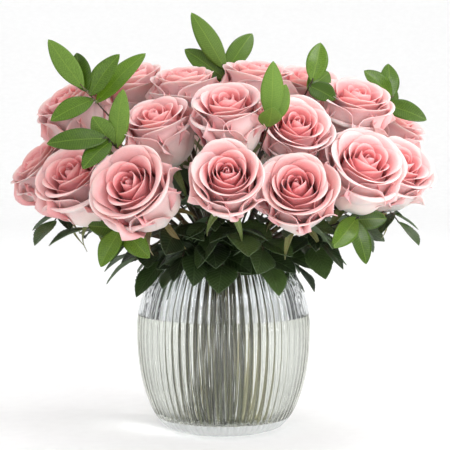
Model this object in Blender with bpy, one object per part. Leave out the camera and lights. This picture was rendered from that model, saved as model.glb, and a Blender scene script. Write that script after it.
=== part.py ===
"""Two dozen pink roses and ten sprigs of glossy greenery, standing in a ribbed glass vase of water.

The vase stands on z = 0 with its axis on the z axis, and the bouquet faces -Y. Lengths are in metres.
Each rose is a stem, with its hip and its compound leaves grown as one, and a bloom seated on the hip.
The stems spread from the vase's floor, pass its neck as one tight bundle and fan out to a dome of blooms.
"""

import math

import bmesh
import bpy
import numpy as np
from mathutils import Matrix, Vector
from mathutils.bvhtree import BVHTree

# Clearance between pieces that touch or fit
GAP = 0.0003

# Vase
VASE_HEIGHT = 0.155
BASE_RADIUS = 0.0425
BELLY_RADIUS = 0.0783
BELLY_HEIGHT = 0.088
MOUTH_RADIUS = 0.0558
SHOULDER_POWER = 2.2
WALL = 0.0035
FLOOR_THICKNESS = 0.012
FLOOR_CORNER = 0.010
FLUTES = 64
FLUTE_DEPTH = 0.0012
FLUTE_FADE = 0.012
CAVITY_SIDES = 48

# Water
WATER_DEPTH = 0.092

# Rose blooms
BLOOM_DIAMETER = 0.063
BLOOM_SIDES = 9
# Place along the bloom's axis and radius there, from the hip to the open top, in bloom diameters
BLOOM_OUTLINE = ((-0.47, 0.06), (-0.40, 0.23), (-0.20, 0.41), (0.04, 0.48), (0.24, 0.42), (0.40, 0.22))
BLOOM_REACH = 0.465  # half the distance at which two blooms stand clear

# Stems
STEM_RADIUS = 0.0026
STEM_SIDES = 5
HIP_RADIUS = 0.0052
HIP_LENGTH = 0.010
SPRIG_RADIUS = 0.0015
BUNDLE_RADIUS = 0.027
BUNDLE_DROP = 0.020  # how far under the rim the bundle is tightest
BUNDLE_SPACE = 0.0008  # free space round each stem in the bundle
BUNDLE_TURN = math.radians(-12)
FOOT_TURN = math.radians(-50)
STEM_STATIONS = 25
STEM_RINGS_ABOVE_NECK = 5

# Greenery leaves and rose leaflets
SPRIG_LEAF_WIDTH = 0.0175
LEAF_THICKNESS = 0.0011
LEAF_STATIONS = ((0.0, 0.07), (0.22, 0.72), (0.5, 1.0), (0.78, 0.66))
LEAF_BOW = 0.07
LEAF_ROOM = 0.0006  # free space round each leaf
SPRIG_RISE = 0.018  # how far a sprig's tip stands out of the gap that it passes through
SPRIG_TIP = 0.003  # bare stem past the last leaf
SPRIG_LEAF_STEP = 0.0045
SPRIG_ROOM = 0.0032

ROSE_LEAF_LENGTH = 0.072
ROSE_STALK_RADIUS = 0.0009
ROSE_STALK_SHARE = 0.50  # the stalk's part of a rose leaf's length
SIDE_LEAFLET_AT = 0.62  # where the side leaflets leave the stalk
SIDE_LEAFLET_ANGLE = math.radians(58)
SIDE_LEAFLET_SHARE = 0.44
ROSE_LEAFLET_WIDTH = 0.42  # of the leaflet's length
ROSE_LEAF_DROOP = 0.16

# Each bloom: its place from the middle of the mouth in bloom diameters (x to the right, y to the back,
# z up), its size, and the azimuth and elevation in degrees that it faces
BLOOMS = (
    (-1.93, -1.06, 1.08, 1.13, -125, 36),
    (-1.10, -1.80, 1.04, 1.17, -117, 20),
    (0.06, -2.04, 1.22, 1.03, -92, 20),
    (0.99, -1.64, 1.02, 1.11, -92, 24),
    (1.84, -1.08, 1.26, 1.17, -68, 34),
    (2.36, -0.12, 1.20, 1.09, -55, 34),
    (-2.38, 0.00, 1.28, 1.05, -160, 36),
    (-0.84, -1.20, 1.83, 1.01, -120, 54),
    (0.09, -1.38, 2.02, 1.05, -101, 55),
    (0.93, -0.98, 1.78, 1.03, -75, 34),
    (1.78, -0.37, 2.10, 1.07, -66, 58),
    (-2.03, -0.20, 2.00, 1.03, -150, 48),
    (-1.30, 0.22, 2.38, 1.03, -135, 66),
    (-0.54, -0.49, 2.40, 1.03, -110, 74),
    (-0.03, 0.50, 2.50, 1.05, 95, 82),
    (0.46, -0.38, 2.50, 1.03, -62, 76),
    (1.14, 0.26, 2.38, 1.03, -72, 68),
    (2.34, 0.80, 1.74, 1.05, -25, 50),
    (1.80, 1.46, 1.30, 1.09, 40, 36),
    (0.68, 2.00, 1.38, 1.09, 72, 32),
    (-0.68, 1.96, 1.38, 1.09, 110, 32),
    (-1.92, 1.16, 1.34, 1.09, 150, 36),
    (0.77, 1.30, 2.22, 1.05, 62, 60),
    (-0.77, 1.25, 2.22, 1.05, 122, 60),
)

# Each sprig: where it passes between the blooms, from the middle of the mouth in bloom diameters, then
# its leaves, each the way from its base to its tip in millimetres
SPRIGS = (
    ((0.02, -0.08, 2.45), ((-30, 4, 50), (40, 10, 36), (-40, -8, 20), (26, -20, 8), (4, 22, 30))),
    ((1.12, -0.62, 2.30), ((8, 10, 34), (22, -12, -12), (20, 20, 16))),
    ((-1.78, -0.72, 2.24), ((-31, 6, 42), (-10, 14, 34), (26, -6, 36), (-36, -14, -18), (42, 18, 44))),
    ((-1.42, -1.42, 1.60), ((-50, -10, -4), (-22, -20, -22), (-18, 2, 24), (6, -4, 50))),
    ((0.57, -1.62, 1.84), ((2, -4, 48), (16, -8, 30), (-4, -18, 20))),
    ((2.22, 0.12, 2.12), ((-25, -8, 24), (6, 4, 36), (38, -6, -14), (14, 20, 20))),
    ((1.62, -0.98, 0.58), ((-22, -20, -24), (12, -8, -38), (34, -10, -2), (18, 6, -20))),
    ((-1.22, -1.20, 0.46), ((-17, -6, -32), (22, -20, -22), (-34, -6, 6), (-28, 4, -12))),
    ((-1.28, 1.72, 1.80), ((-36, 12, 16), (10, 24, 34), (-6, 30, -14), (34, 14, 20))),
    ((1.26, 1.78, 1.80), ((36, 12, 12), (-12, 24, 34), (8, 30, -16), (-34, 12, 18))),
)

# Each rose leaf: its rose's number, the height over the rim where it leaves the stem, and the azimuth and
# elevation in degrees that it starts out along
ROSE_LEAVES = (
    (1, 0.016, -150, -20), (2, 0.012, -122, -34), (2, 0.022, -92, -22), (3, 0.013, -96, -38),
    (4, 0.013, -72, -32), (4, 0.024, -100, -14), (5, 0.014, -48, -24), (6, 0.015, -18, -16),
    (7, 0.015, 176, -14), (8, 0.028, -136, -4), (9, 0.030, -84, -2), (10, 0.028, -64, -6),
    (11, 0.032, -36, 4), (12, 0.032, -170, 2), (13, 0.036, 150, 6), (17, 0.036, 30, 6),
    (18, 0.016, 8, -16), (19, 0.015, 46, -22), (20, 0.014, 66, -30), (21, 0.014, 114, -30),
    (22, 0.015, 142, -20), (23, 0.030, 84, -4), (24, 0.030, 100, -4),
    (9, 0.040, -118, 2), (3, 0.034, -76, -8), (8, 0.042, -104, 4), (4, 0.038, -58, -6),
    (2, 0.036, -140, -8), (16, 0.040, -90, -4), (14, 0.036, -120, -6), (5, 0.032, -80, -10),
    (1, 0.034, -172, -6), (6, 0.030, 4, -4),
)

# Materials: colour, roughness, metallic
MATERIALS = {
    "rib_glass": ((0.82, 0.87, 0.89, 1.0), 0.04, 0.0),
    "clear_water": ((0.80, 0.80, 0.66, 1.0), 0.02, 0.0),
    "pink_petal": ((0.78, 0.35, 0.38, 1.0), 0.55, 0.0),
    "rose_green": ((0.05, 0.09, 0.03, 1.0), 0.50, 0.0),
    "bright_green": ((0.08, 0.20, 0.03, 1.0), 0.35, 0.0),
}


def material(name):
    """The named Principled material, made once."""
    made = bpy.data.materials.get(name)
    if made is None:
        colour, roughness, metallic = MATERIALS[name]
        made = bpy.data.materials.new(name)
        made.use_nodes = True
        made.diffuse_color = colour
        shader = made.node_tree.nodes["Principled BSDF"]
        shader.inputs["Base Color"].default_value = colour
        shader.inputs["Roughness"].default_value = roughness
        shader.inputs["Metallic"].default_value = metallic
    return made


def place(name, body, material_name=None):
    """An object of the body, a pair of corners and faces, named and linked to the scene."""
    mesh = bpy.data.meshes.new(name)
    mesh.from_pydata([tuple(corner) for corner in body[0]], [], body[1])
    mesh.shade_smooth()
    mesh.set_sharp_from_angle(angle=math.radians(40))
    thing = bpy.data.objects.new(name, mesh)
    bpy.context.scene.collection.objects.link(thing)
    if material_name:
        mesh.materials.append(material(material_name))
    return thing


def skin(rings, tip=None):
    """A closed body through rings of as many corners each, ending in a flat face or in a tip."""
    count = len(rings[0])
    corners = [corner for ring in rings for corner in ring]
    faces = [tuple(reversed(range(count)))]
    for start in range(0, len(corners) - count, count):
        for side in range(count):
            after = (side + 1) % count
            faces.append((start + side, start + after, start + count + after, start + count + side))
    last = len(corners) - count
    if tip is None:
        faces.append(tuple(range(last, last + count)))
    else:
        corners.append(tip)
        faces += [(last + side, last + (side + 1) % count, len(corners) - 1) for side in range(count)]
    return corners, faces


def joined(bodies):
    """The bodies as one list of corners and one of faces."""
    corners, faces = [], []
    for body in bodies:
        faces += [tuple(index + len(corners) for index in face) for face in body[1]]
        corners += list(body[0])
    return corners, faces


def cut_into_triangles(mesh):
    """Cuts the mesh's faces into triangles, as a twisted face of four corners can't be joined cleanly."""
    shape = bmesh.new()
    shape.from_mesh(mesh)
    bmesh.ops.triangulate(shape, faces=shape.faces)
    shape.to_mesh(mesh)
    shape.free()


def combine(thing, body, operation):
    """Joins the body to the object, or cuts it out, and keeps the result as the object's own mesh."""
    tool = place("tool", body)
    cut_into_triangles(thing.data)
    cut_into_triangles(tool.data)
    step = thing.modifiers.new(operation.lower(), "BOOLEAN")
    step.object = tool
    step.operation = operation
    step.solver = "EXACT"
    step.use_self = True
    bpy.context.view_layer.update()
    before = thing.data
    shape = thing.evaluated_get(bpy.context.evaluated_depsgraph_get())
    thing.data = bpy.data.meshes.new_from_object(shape)
    thing.modifiers.clear()
    thing.data.name = thing.name
    bpy.data.meshes.remove(before)
    bpy.data.objects.remove(tool)


def circle(radius, height, sides, start=0.0):
    """A level ring of corners about the z axis."""
    turns = [start + 2 * math.pi * side / sides for side in range(sides)]
    return [Vector((radius * math.cos(turn), radius * math.sin(turn), height)) for turn in turns]


def heading(azimuth, elevation):
    """The unit vector at the azimuth and elevation, in degrees."""
    around, up = math.radians(azimuth), math.radians(elevation)
    return Vector((math.cos(up) * math.cos(around), math.cos(up) * math.sin(around), math.sin(up)))


# ---- Vase and water ----

def vase_radius(height):
    """The vase's outer radius: a quarter ellipse up to the belly, then a shoulder that draws in."""
    if height < BELLY_HEIGHT:
        below = 1 - height / BELLY_HEIGHT
        return BASE_RADIUS + (BELLY_RADIUS - BASE_RADIUS) * math.sqrt(1 - below * below)
    above = (height - BELLY_HEIGHT) / (VASE_HEIGHT - BELLY_HEIGHT)
    return BELLY_RADIUS - (BELLY_RADIUS - MOUTH_RADIUS) * above ** SHOULDER_POWER


def cavity_radius(height):
    """The radius inside the wall, with a round corner over the thick floor."""
    short = max(0.0, 1 - (height - FLOOR_THICKNESS) / FLOOR_CORNER)
    return vase_radius(height) - WALL - FLOOR_CORNER * (1 - math.sqrt(1 - short * short))


def cavity_levels(top):
    """Heights of the rings of the cavity, and of the water that fills it, up to the top."""
    corner = [FLOOR_THICKNESS + FLOOR_CORNER * share for share in (0.0, 0.15, 0.5, 1.0)]
    first = corner[-1]
    wall = [first + (top - first) * step / 6 for step in range(1, 7)]
    return corner + wall


def make_vase():
    """The vase: ribs run from above the heel to under the rim, and fade out at both ends."""
    heel = [BELLY_HEIGHT * (1 - math.cos(math.radians(turn))) for turn in (0, 20, 42, 66, 90)]
    shoulder = [BELLY_HEIGHT + (VASE_HEIGHT - BELLY_HEIGHT) * share for share in (0.4, 0.75, 0.94, 1.0)]
    rings = []
    for height in heel + shoulder:
        ring = circle(vase_radius(height), height, 2 * FLUTES)
        fade = min(1.0, height / FLUTE_FADE, (VASE_HEIGHT - height) / (0.3 * FLUTE_FADE))
        for corner in ring[1::2]:
            shrink = 1 - FLUTE_DEPTH * fade / vase_radius(height)
            corner.x *= shrink
            corner.y *= shrink
        rings.append(ring)
    vase = place("vase", skin(rings), "rib_glass")

    levels = cavity_levels(WATER_LEVEL) + [(WATER_LEVEL + VASE_HEIGHT) / 2, VASE_HEIGHT]
    cavity = [circle(cavity_radius(level), level, CAVITY_SIDES) for level in levels]
    cavity.append(circle(cavity_radius(VASE_HEIGHT), VASE_HEIGHT + WALL, CAVITY_SIDES))
    combine(vase, skin(cavity), "DIFFERENCE")


def make_water(stalks):
    """The water: what the cavity holds up to its level, with a tunnel for each stem that stands in it."""
    rings = [circle(cavity_radius(level) - GAP, level, CAVITY_SIDES) for level in cavity_levels(WATER_LEVEL)]
    for corner in rings[0]:
        corner.z += GAP
    water = place("water", skin(rings), "clear_water")
    tunnels = []
    for stalk in stalks:
        foot, neck = stalk.route[:2]
        along = (neck - foot).normalized()
        under = foot - along * 4 * GAP
        reach = stalk.radius + 1.3 * GAP
        tunnels.append(skin([level_ring(point, along, reach) for point in (under, neck)]))
    combine(water, joined(tunnels), "DIFFERENCE")


# ---- Places of blooms, sprigs and stems ----

def ease_apart(points, radii):
    """Moves the points as little as it takes for no two to stand closer than their radii together."""
    points, radii = np.array(points, float), np.array(radii, float)
    needed = radii[:, None] + radii[None, :]
    weight = radii ** 2
    share = weight[None, :] / (weight[:, None] + weight[None, :])
    for _ in range(600):
        offset = points[:, None] - points[None, :]
        distance = np.linalg.norm(offset, axis=2)
        np.fill_diagonal(distance, 1.0)
        push = np.clip(needed - distance, 0, None)
        np.fill_diagonal(push, 0.0)
        if push.max() < 1e-6:
            break
        points += 0.5 * (offset * (push * share / distance)[:, :, None]).sum(axis=1)
    return [Vector(point) for point in points]


class Stalk:
    """One stem on its way from the vase's floor to its head, where it points along its facing."""

    def __init__(self, name, radius, head, facing):
        self.name = name
        self.radius = radius
        self.head = head
        self.facing = facing
        self.neck = None
        self.foot = None
        self.route = []
        self.bodies = []


def stand_in_bundle(stalks):
    """Gives each stem its place in the neck, as its head stands in the dome, and its foot on the floor."""
    mouth = Vector((0, 0, VASE_HEIGHT))
    leans = [(stalk.head - mouth).angle(Vector((0, 0, 1))) for stalk in stalks]
    widest = math.sin(max(leans) / 2)
    places = []
    for stalk, lean in zip(stalks, leans):
        around = math.atan2(stalk.head.y, stalk.head.x) + BUNDLE_TURN
        out = (BUNDLE_RADIUS - stalk.radius) * math.sin(lean / 2) / widest
        places.append((out * math.cos(around), out * math.sin(around)))
    places = ease_apart(places, [stalk.radius + BUNDLE_SPACE for stalk in stalks])
    spread = (cavity_radius(FLOOR_THICKNESS) - STEM_RADIUS - 3 * GAP) / max(place.length for place in places)
    turn = Matrix.Rotation(FOOT_TURN, 3, "Z")
    for stalk, spot in zip(stalks, places):
        stalk.neck = Vector((spot.x, spot.y, VASE_HEIGHT - BUNDLE_DROP))
        stalk.foot = turn @ Vector((spot.x, spot.y, 0)) * spread
        stalk.foot.z = FLOOR_THICKNESS + 2 * GAP


def fan_out(stalks):
    """Bends each stem from the neck to its head, then eases the stems apart where two would touch."""
    shares = np.linspace(0, 1, STEM_STATIONS)[:, None]
    routes, radii = [], []
    for stalk in stalks:
        rise = (stalk.neck - stalk.foot).normalized()
        handle = 0.36 * (stalk.head - stalk.neck).length
        bend = [stalk.neck, stalk.neck + rise * handle, stalk.head - stalk.facing * handle, stalk.head]
        start, first, second, end = [np.array(point) for point in bend]
        rest = 1 - shares
        routes.append(rest ** 3 * start + 3 * rest ** 2 * shares * first
                      + 3 * rest * shares ** 2 * second + shares ** 3 * end)
        radii.append(stalk.radius)
    routes, radii = np.array(routes), np.array(radii)
    owner = np.repeat(np.arange(len(stalks)), STEM_STATIONS)
    free = np.tile(np.sin(np.linspace(0, np.pi, STEM_STATIONS)) ** 0.5, len(stalks))[:, None]
    reach = np.repeat(radii, STEM_STATIONS) + BUNDLE_SPACE / 2
    needed = np.where(owner[:, None] == owner[None, :], 0.0, reach[:, None] + reach[None, :])
    lip = cavity_radius(VASE_HEIGHT)
    for _ in range(120):
        points = routes.reshape(-1, 3)
        offset = points[:, None] - points[None, :]
        distance = np.linalg.norm(offset, axis=2) + 1e-9
        push = np.clip(needed - distance, 0, None)
        shift = 0.5 * (offset * (push / distance)[:, :, None]).sum(axis=1)
        over = np.hypot(points[:, 0], points[:, 1]) > lip - 4 * STEM_RADIUS
        shift[:, 2] += 0.5 * over * np.clip(VASE_HEIGHT + 3 * STEM_RADIUS - points[:, 2], 0, None)
        shift = (shift * free).reshape(routes.shape)
        shift[:, 1:-1] = (shift[:, :-2] + 2 * shift[:, 1:-1] + shift[:, 2:]) / 3
        routes += shift
        if np.abs(shift).max() < 1e-6:
            break
    picks = np.linspace(0, STEM_STATIONS - 1, STEM_RINGS_ABOVE_NECK + 2).round().astype(int)
    for stalk, route in zip(stalks, routes):
        stalk.route = [stalk.foot] + [Vector(point) for point in route[picks]]


# ---- Stems ----

def level_ring(centre, along, radius):
    """Where the round stem that runs along this way through the centre is cut level."""
    flat = Vector((along.x, along.y, 0))
    flat = flat.normalized() if flat.length > 1e-6 else Vector((1, 0, 0))
    stretch = radius * (1 / along.z - 1)
    ring = circle(radius, 0, STEM_SIDES)
    return [centre + corner + flat * (corner.dot(flat) / radius * stretch) for corner in ring]


def square_ring(centre, along, radius):
    """The same ring of the stem, cut square across it."""
    return [corner - along * (corner - centre).dot(along) for corner in level_ring(centre, along, radius)]


def stem_rings(stalk, last):
    """Level rings along the stem's route, up to the last point before its end."""
    route = stalk.route
    ways = [(after - before).normalized() for before, after in zip(route, route[1:])]
    rings = [level_ring(route[0], ways[0], stalk.radius), level_ring(route[1], ways[0], stalk.radius)]
    for index in range(2, len(route) - last):
        along = (ways[index - 1] + ways[index]).normalized()
        rings.append(level_ring(route[index], along, stalk.radius))
    return rings


def rose_stem(stalk):
    """A rose's stem, with the hip that swells under its bloom."""
    rings = stem_rings(stalk, 1)
    for back, radius in ((1.0, stalk.radius), (0.5, 0.9 * HIP_RADIUS), (0.12, HIP_RADIUS), (0.0, 0.7 * HIP_RADIUS)):
        rings.append(square_ring(stalk.head - stalk.facing * (HIP_LENGTH * back), stalk.facing, radius))
    return skin(rings)


def sprig_stem(stalk):
    """A sprig's thin stem, which ends in a point among its last leaves."""
    rings = stem_rings(stalk, 1)
    rings.append(level_ring(stalk.route[-1] - stalk.facing * stalk.radius, stalk.facing, 0.6 * stalk.radius))
    return skin(rings, stalk.route[-1])


def on_stem(stalk, height):
    """The point and the way of the stem's centreline at the height."""
    for before, after in zip(stalk.route[1:], stalk.route[2:]):
        if after.z >= height:
            share = (height - before.z) / (after.z - before.z)
            return before.lerp(after, max(0.0, share)), (after - before).normalized()
    return stalk.route[-2].copy(), stalk.facing


# ---- Blooms ----

def bloom_body(centre, facing, size):
    """A rose's bloom as one goblet-shaped body about the way that it faces."""
    turn = facing.to_track_quat("Z", "Y").to_matrix()
    rings = []
    for along, radius in BLOOM_OUTLINE:
        ring = circle(radius * size, along * size, BLOOM_SIDES)
        rings.append([centre + turn @ corner for corner in ring])
    return skin(rings, centre + facing * (0.37 * size))


# ---- Leaves ----

def blade(base, tip, face, width, swell=0.0, stations=LEAF_STATIONS):
    """A pointed leaf from base to tip, bowed towards its face, and thickened by the swell."""
    along = tip - base
    side = face.cross(along).normalized()
    up = along.cross(side).normalized()
    bow = up * (LEAF_BOW * along.length)
    rings = []
    for share, fullness in stations:
        centre = base + along * share + bow * math.sin(math.pi * share)
        half = side * (0.5 * width * fullness + swell)
        thick = up * (0.5 * LEAF_THICKNESS * (0.6 + 0.4 * fullness) + swell)
        rings.append([centre + half, centre + thick, centre - half, centre - thick])
    return skin(rings, tip + along.normalized() * swell)


def rod(points, radius):
    """A thin three-sided leaf stalk through the points."""
    way = (points[-1] - points[0]).normalized()
    side = way.orthogonal().normalized()
    corners = [Matrix.Rotation(math.radians(turn), 3, way) @ side * radius for turn in (0, 120, 240)]
    return skin([[point + corner for corner in corners] for point in points])


def rose_leaf(base, way, length, swell=0.0, stations=LEAF_STATIONS):
    """A compound rose leaf: a stalk that starts along the way and droops, a leaflet at its end, two beside."""
    down = Vector((0, 0, -1))
    bent = (way + down * ROSE_LEAF_DROOP).normalized()
    face = (bent * bent.z - Vector((0, 0, 1))).normalized() * -1
    knee = base + way * (length * ROSE_STALK_SHARE * SIDE_LEAFLET_AT)
    end = knee + bent * (length * ROSE_STALK_SHARE * (1 - SIDE_LEAFLET_AT))
    tip = end + (bent + down * ROSE_LEAF_DROOP).normalized() * (length * (1 - ROSE_STALK_SHARE))
    width = ROSE_LEAFLET_WIDTH * 2 * length * (1 - ROSE_STALK_SHARE)
    bodies = [rod((base, knee, end + bent * 0.003), ROSE_STALK_RADIUS + swell)]
    bodies.append(blade(end, tip, face, width * 0.8, swell, stations))
    for hand in (-1, 1):
        aside = Matrix.Rotation(hand * SIDE_LEAFLET_ANGLE, 3, face) @ bent
        side_tip = knee + (aside + down * ROSE_LEAF_DROOP).normalized() * (length * SIDE_LEAFLET_SHARE)
        bodies.append(blade(knee, side_tip, face, width * 0.68, swell, stations))
    return joined(bodies if stations == LEAF_STATIONS else bodies[1:])


def tree_of(body):
    """The body's surface, ready to be tested against others."""
    return BVHTree.FromPolygons([tuple(corner) for corner in body[0]], body[1])


def find_room(grow, taken, own_stem):
    """Grows the leaf the first way that is clear of every surface taken, or not at all where none is.

    Only the part of the leaf beyond its first station has to be clear of its own stem.
    """
    for attempt in LEAF_TRIES:
        tested = tree_of(grow(*attempt, LEAF_ROOM, LEAF_STATIONS))
        outer = tree_of(grow(*attempt, LEAF_ROOM, LEAF_STATIONS[1:]))
        if not outer.overlap(own_stem) and not any(tested.overlap(other) for other in taken):
            taken.append(tested)
            return grow(*attempt, 0.0, LEAF_STATIONS)
    return None


def leaf_tries():
    """Ways to move a leaf that has no room: swing it, lift it, then shorten it, least first."""
    tries = []
    for size in (1.0, 0.88, 0.76, 0.64):
        for lift in (0, 9, 18, 28, 40, 54, -10, -20):
            for swing in (0, 12, -12, 24, -24, 38, -38, 55, -55):
                cost = abs(lift) + 0.8 * abs(swing) + 190 * (1 - size)
                tries.append((cost, size, math.radians(lift), math.radians(swing)))
    return [attempt[1:] for attempt in sorted(tries)]


def grow_sprig_leaves(stalk, taken, own_stem, leaves):
    """Sets the sprig's leaves up its stem in turn, each as near its own way as it finds room."""
    for number, way in enumerate(leaves):
        along = Vector(way) / 1000
        base = stalk.head - stalk.facing * (SPRIG_TIP + SPRIG_LEAF_STEP * number)

        def grow(size, lift, swing, swell, stations):
            axis = along.cross(stalk.facing).normalized()
            turned = Matrix.Rotation(swing, 3, stalk.facing) @ (Matrix.Rotation(lift, 3, axis) @ along)
            face = Vector((0.6 * stalk.facing.x, 1.0 if stalk.facing.y > 0.3 else -1.0, 0.35))
            return blade(base, base + turned * size, face, SPRIG_LEAF_WIDTH * size, swell, stations)

        body = find_room(grow, taken, own_stem)
        if body:
            stalk.bodies.append(body)


def grow_rose_leaf(stalk, taken, own_stem, height, azimuth, elevation):
    """Sets one compound leaf on a rose's stem."""
    base, _ = on_stem(stalk, VASE_HEIGHT + height)

    def grow(size, lift, swing, swell, stations):
        way = heading(azimuth + math.degrees(swing), elevation + math.degrees(lift))
        return rose_leaf(base, way, ROSE_LEAF_LENGTH * size, swell, stations)

    body = find_room(grow, taken, own_stem)
    if body:
        stalk.bodies.append(body)


# ---- Bouquet ----

def bouquet():
    """Places every bloom, stem and leaf, and makes their objects."""
    mouth = Vector((0, 0, VASE_HEIGHT))
    centres = [Vector(row[:3]) * BLOOM_DIAMETER for row in BLOOMS]
    passes = [Vector(row[0]) * BLOOM_DIAMETER for row in SPRIGS]
    radii = [BLOOM_REACH * row[3] * BLOOM_DIAMETER + GAP for row in BLOOMS] + [SPRIG_ROOM] * len(SPRIGS)
    spots = [mouth + spot for spot in ease_apart(centres + passes, radii)]

    roses, blooms = [], []
    for number, (row, centre) in enumerate(zip(BLOOMS, spots), 1):
        facing = heading(row[4], row[5])
        size = row[3] * BLOOM_DIAMETER
        blooms.append(bloom_body(centre, facing, size))
        head = centre + facing * (BLOOM_OUTLINE[0][0] * size - GAP)
        roses.append(Stalk(f"rose_stem_{number:02d}", STEM_RADIUS, head, facing))
    sprigs = []
    for number, spot in enumerate(spots[len(BLOOMS):], 1):
        facing = (spot - mouth).normalized()
        sprigs.append(Stalk(f"greenery_sprig_{number:02d}", SPRIG_RADIUS, spot + facing * SPRIG_RISE, facing))
    stalks = roses + sprigs
    stand_in_bundle(stalks)
    fan_out(stalks)

    for stalk in roses:
        stalk.bodies.append(rose_stem(stalk))
    for stalk in sprigs:
        stalk.bodies.append(sprig_stem(stalk))
    stems = {stalk.name: tree_of(stalk.bodies[0]) for stalk in stalks}
    vase_walls = tree_of(skin([circle(vase_radius(height), height, FLUTES) for height in
                               (0.0, 0.5 * BELLY_HEIGHT, BELLY_HEIGHT, 0.8 * VASE_HEIGHT, VASE_HEIGHT)]))
    taken = [tree_of(bloom) for bloom in blooms] + [vase_walls]
    jobs = [(stalk, grow_sprig_leaves, (row[1],)) for stalk, row in zip(sprigs, SPRIGS)]
    jobs += [(roses[row[0] - 1], grow_rose_leaf, row[1:]) for row in ROSE_LEAVES]
    for stalk, grow_leaves, values in jobs:
        others = [stems[name] for name in stems if name != stalk.name]
        before = len(taken)
        around = taken + others
        grow_leaves(stalk, around, stems[stalk.name], *values)
        taken += around[before + len(others):]

    for number, body in enumerate(blooms, 1):
        place(f"rose_bloom_{number:02d}", body, "pink_petal")
    for stalk in stalks:
        green = "rose_green" if stalk.radius == STEM_RADIUS else "bright_green"
        thing = place(stalk.name, stalk.bodies[0], green)
        if len(stalk.bodies) > 1:
            combine(thing, joined(stalk.bodies[1:]), "UNION")
    return stalks


for leftover in list(bpy.data.objects):
    bpy.data.objects.remove(leftover)

WATER_LEVEL = FLOOR_THICKNESS + WATER_DEPTH
LEAF_TRIES = leaf_tries()
make_vase()
make_water(bouquet())
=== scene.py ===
"""Roses in a vase: a bouquet of pink roses and glossy greenery in a ribbed glass vase of water.

Laid out as an add-on whose operators grow each kind of piece on the fixed frame: the places, sizes and
ways of the blooms, stems and leaves are all read from the frame's own solids. Lengths are in metres.
"""

import math

import bmesh
import bpy
import numpy as np
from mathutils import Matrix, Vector


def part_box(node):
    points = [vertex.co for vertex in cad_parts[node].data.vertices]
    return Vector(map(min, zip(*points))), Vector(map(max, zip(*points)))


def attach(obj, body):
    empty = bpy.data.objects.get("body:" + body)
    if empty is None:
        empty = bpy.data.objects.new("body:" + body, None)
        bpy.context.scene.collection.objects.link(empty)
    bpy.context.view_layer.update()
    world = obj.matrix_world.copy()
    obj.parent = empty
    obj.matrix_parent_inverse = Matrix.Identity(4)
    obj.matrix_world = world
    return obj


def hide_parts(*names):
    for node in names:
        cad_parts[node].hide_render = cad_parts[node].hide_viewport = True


bl_info = {
    "name": "Roses in a vase",
    "version": (1, 0, 0),
    "blender": (4, 5, 0),
    "location": "3D View > Sidebar > Bouquet",
    "description": "Grows rose petals, sepals, leaves, stems, water and ribbed glass on the bouquet's frame",
    "category": "Object",
}

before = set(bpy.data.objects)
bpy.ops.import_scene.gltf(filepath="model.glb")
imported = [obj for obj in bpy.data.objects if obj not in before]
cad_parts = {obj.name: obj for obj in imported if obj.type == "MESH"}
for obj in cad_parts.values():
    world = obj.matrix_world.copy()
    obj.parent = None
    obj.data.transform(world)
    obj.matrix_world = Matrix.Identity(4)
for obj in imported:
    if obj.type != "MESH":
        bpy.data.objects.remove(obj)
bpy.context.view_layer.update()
ROSES = sorted(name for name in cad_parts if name.startswith("rose_bloom"))
SPRIGS = sorted(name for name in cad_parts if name.startswith("greenery_sprig"))
MM = 0.001
UP = np.array((0.0, 0.0, 1.0))
FULL_TURN = 2 * np.pi
GOLDEN_ANGLE = np.radians(137.508)
# A phase or a turn drawn by chance, in radians: once round, and a little over
ANY_TURN = (0, 6.3)

# In the frame's solids, corners this near are one, and corners this near in height are level
WELD = 2e-6
LEVEL = 3e-6
# Less than the vase's wall, and more than its ribs are deep
WALL_STEP = 2.5 * MM
# The corners round one level of the vase: outside, at least, and in the cavity
OUTSIDE_CORNERS = 100
CAVITY_CORNERS = (40, 60)
# Straight steps that each stretch of a curve is measured in
CURVE_STEPS = 12
# The least cosine between the way back from a leaf's tip and each link there
TIP_SPREAD = 0.55
# How far across a ring of bare stem may be, in the stem's radii, as a leaning stem is cut level
STEM_ACROSS = (1.3, 4.2)

# Up to here the vase's heel is ground, not clear
HEEL_HEIGHT = 0.0115
# How far the petals turn up from the way that a bloom faces, as a share of the way up
LIFT = 0.24
# How far the petals then settle on the leaves: by the hip's height, and the drop there
SETTLE = ((0.250, 0.277), (0.0050, 0.0115))
# A bloom's half width in the frame, as a share of its diameter
BLOOM_HALF_WIDTH = 0.48


# ---- Reading the frame ----

def welded(node):
    """The node's corners, joined where they meet, and for each the corners that share an edge with it."""
    shape = bmesh.new()
    shape.from_mesh(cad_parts[node].data)
    bmesh.ops.remove_doubles(shape, verts=shape.verts, dist=WELD)
    shape.verts.index_update()
    points = np.array([corner.co[:] for corner in shape.verts])
    links = [[edge.other_vert(corner).index for edge in corner.link_edges] for corner in shape.verts]
    shape.free()
    return points, links


def unit(way):
    """The way at length one."""
    return way / max(1e-12, float(np.linalg.norm(way)))


def nearest_point(line, spot):
    """The point of the line nearest to the spot."""
    return line[np.argmin(np.linalg.norm(line - spot, axis=1))]


def levels_of(points):
    """The numbers of the corners at each height, from the lowest up."""
    order = np.argsort(points[:, 2])
    return np.split(order, np.nonzero(np.diff(points[order, 2]) > LEVEL)[0] + 1)


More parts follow.
